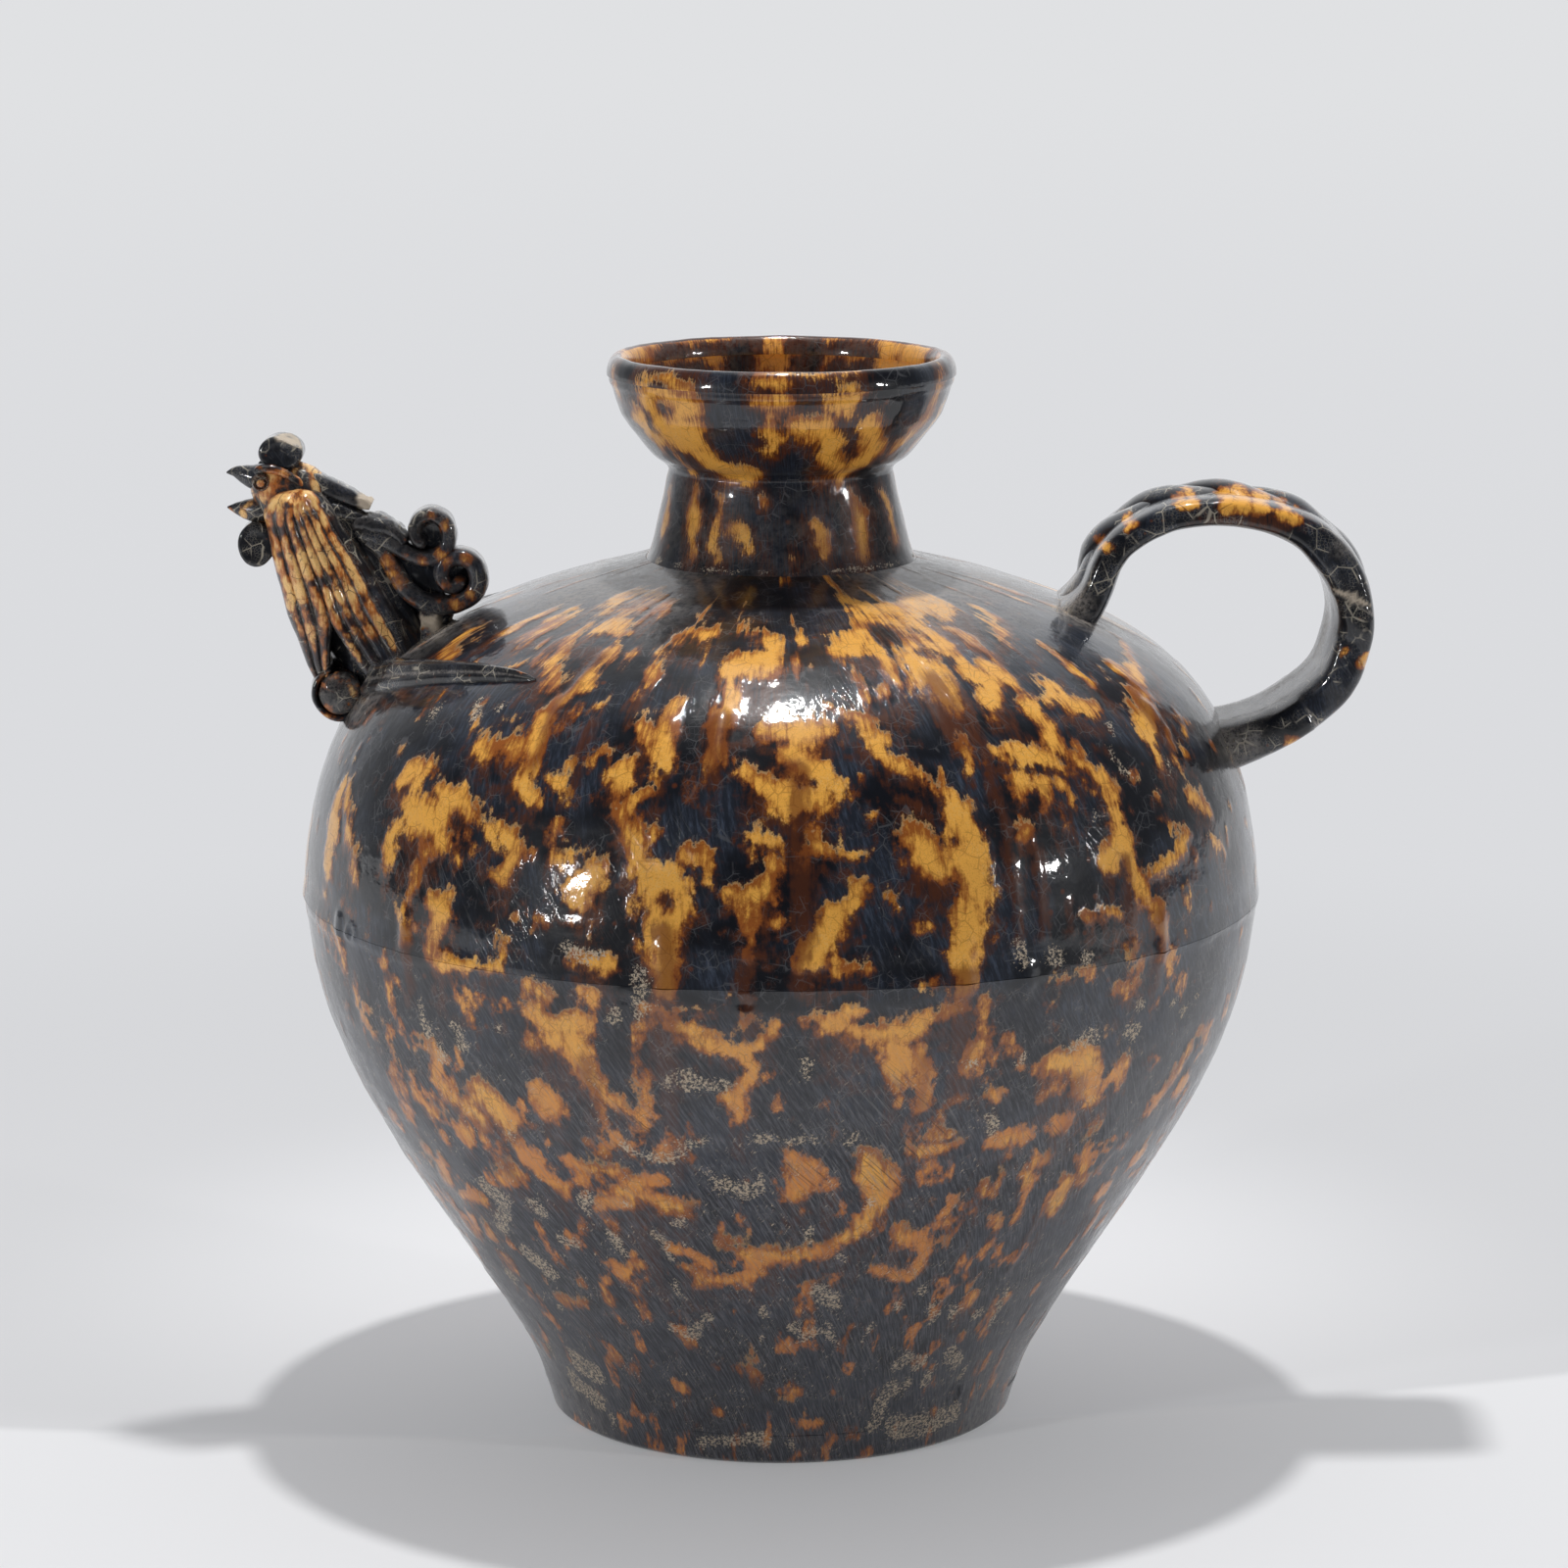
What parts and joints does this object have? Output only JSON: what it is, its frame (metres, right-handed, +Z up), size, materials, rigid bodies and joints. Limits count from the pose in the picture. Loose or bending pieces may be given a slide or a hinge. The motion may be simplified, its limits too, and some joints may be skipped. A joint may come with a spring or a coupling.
{
  "type": "phoenix-head ewer",
  "caption": "Round-bellied ceramic ewer with a dish mouth, roped strap handle and a bird's-head spout, in tortoiseshell glaze.",
  "frame": {"origin": "centre of the flat foot, on the surface the ewer stands on", "axes": "+Z up along the axis of the jar, -X towards the spout, +X towards the handle, +Y to the jar's far side"},
  "size_m": [0.3194, 0.268, 0.2999],
  "materials": {
    "black_glaze": "glossy black glaze with amber splashes",
    "amber_glaze": "glossy amber glaze with black patches",
    "bare_clay": "rough buff stoneware clay"
  },
  "bodies": {
    "root": {"foot_floor": "black_glaze", "lower_body": "black_glaze", "upper_body": "black_glaze", "neck": "black_glaze", "mouth_dish": "amber_glaze", "mouth_rim": "black_glaze", "handle_strap": "black_glaze", "handle_strand_near": "black_glaze", "handle_strand_far": "black_glaze", "spout_tube": "black_glaze", "bird_head": "amber_glaze", "beak_upper": "black_glaze", "beak_lower": "black_glaze", "eye_near": "amber_glaze", "eye_far": "amber_glaze", "comb_knob": "black_glaze", "wattle_roll": "black_glaze", "crest_bar": "black_glaze", "crest_strip": "black_glaze", "scroll_upper": "black_glaze", "scroll_lower": "black_glaze", "scroll_stub": "bare_clay", "breast_roll": "black_glaze", "breast_ball": "black_glaze", "feathers_near": "amber_glaze", "feathers_far": "amber_glaze", "wing_near": "black_glaze", "wing_far": "black_glaze"}
  },
  "joints": []
}
